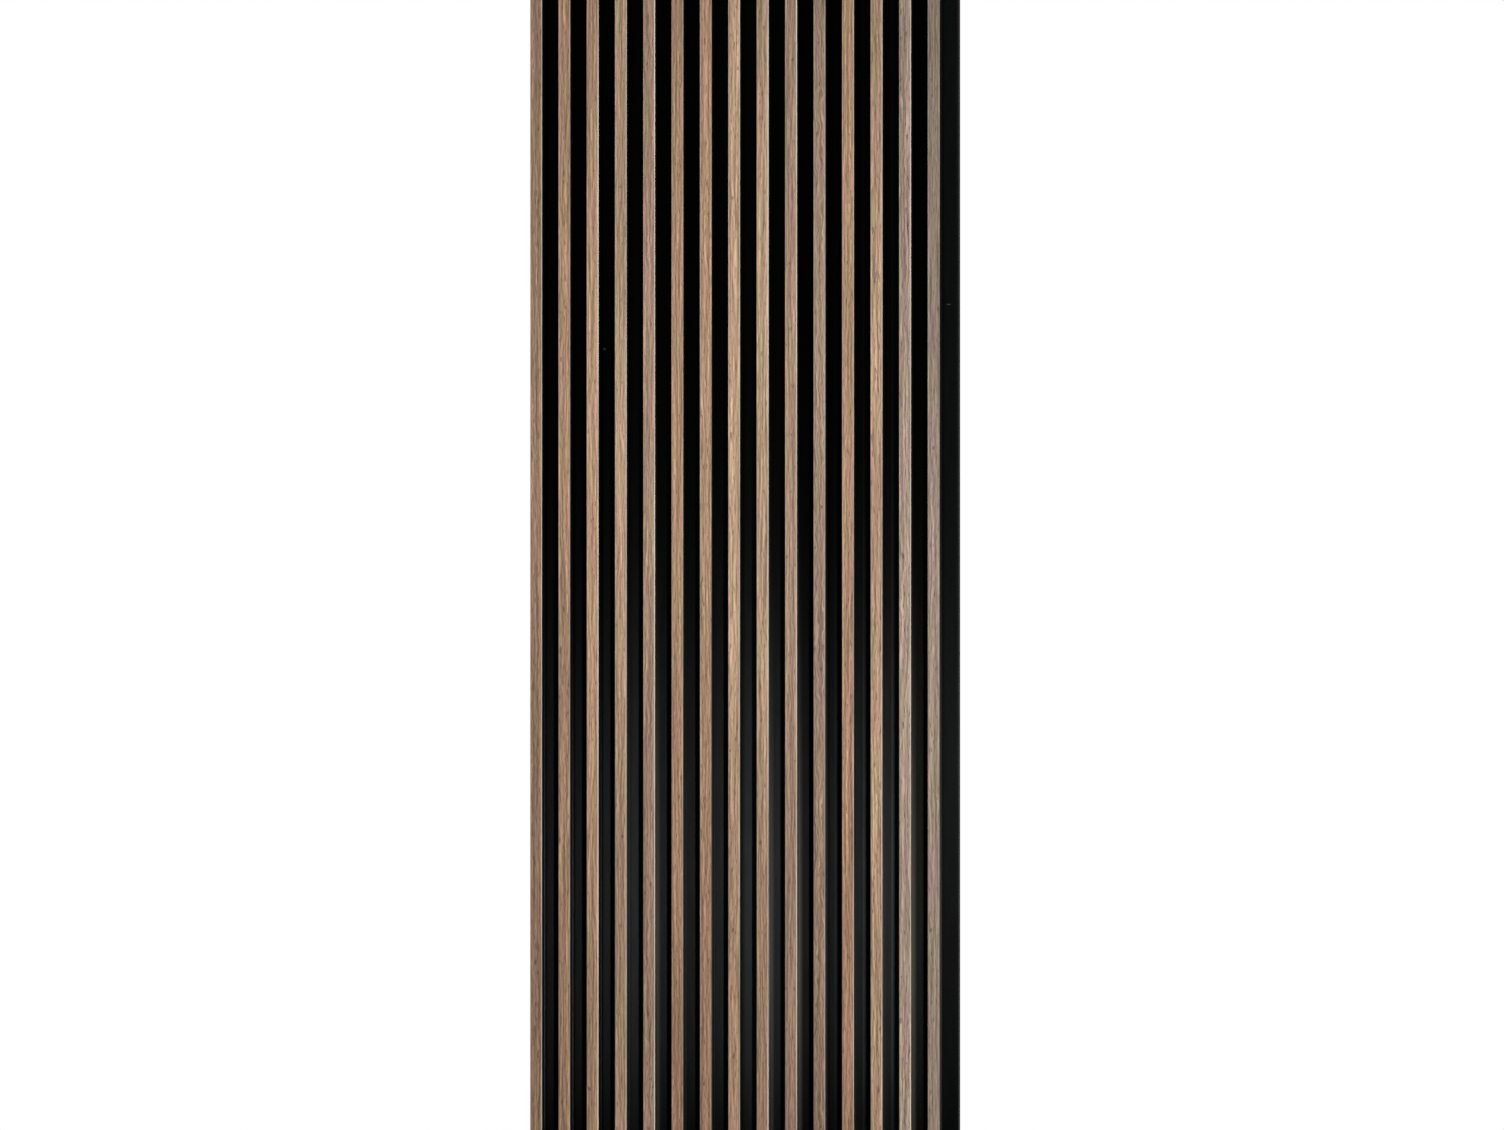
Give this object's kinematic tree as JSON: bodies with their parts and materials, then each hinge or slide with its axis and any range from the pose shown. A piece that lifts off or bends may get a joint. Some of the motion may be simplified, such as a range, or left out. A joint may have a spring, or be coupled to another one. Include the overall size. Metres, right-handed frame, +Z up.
{
  "type": "slat wall panel",
  "caption": "Flat wall panel of upright black-cored slats with thin wood faces, evenly spaced on a black felt backing sheet, to be fixed flat to a wall.",
  "frame": {"origin": "centre of the back face, which lies flat against the wall", "axes": "+Z up along the slats, +Y from the front into the wall, so that the slats face -Y, and +X to the right seen from the front"},
  "size_m": [0.6, 0.021, 2.4],
  "materials": {
    "wood_face": "satin",
    "core": "matt",
    "felt": "matt",
    "staple_wire": "satin"
  },
  "bodies": {
    "root": {"felt_backing": "felt", "slat_core_01": "core", "slat_core_02": "core", "slat_core_03": "core", "slat_core_04": "core", "slat_core_05": "core", "slat_core_06": "core", "slat_core_07": "core", "slat_core_08": "core", "slat_core_09": "core", "slat_core_10": "core", "slat_core_11": "core", "slat_core_12": "core", "slat_core_13": "core", "slat_core_14": "core", "slat_core_15": "core", "slat_face_01": "wood_face", "slat_face_02": "wood_face", "slat_face_03": "wood_face", "slat_face_04": "wood_face", "slat_face_05": "wood_face", "slat_face_06": "wood_face", "slat_face_07": "wood_face", "slat_face_08": "wood_face", "slat_face_09": "wood_face", "slat_face_10": "wood_face", "slat_face_11": "wood_face", "slat_face_12": "wood_face", "slat_face_13": "wood_face", "slat_face_14": "wood_face", "slat_face_15": "wood_face", "staples": "staple_wire"}
  },
  "joints": []
}
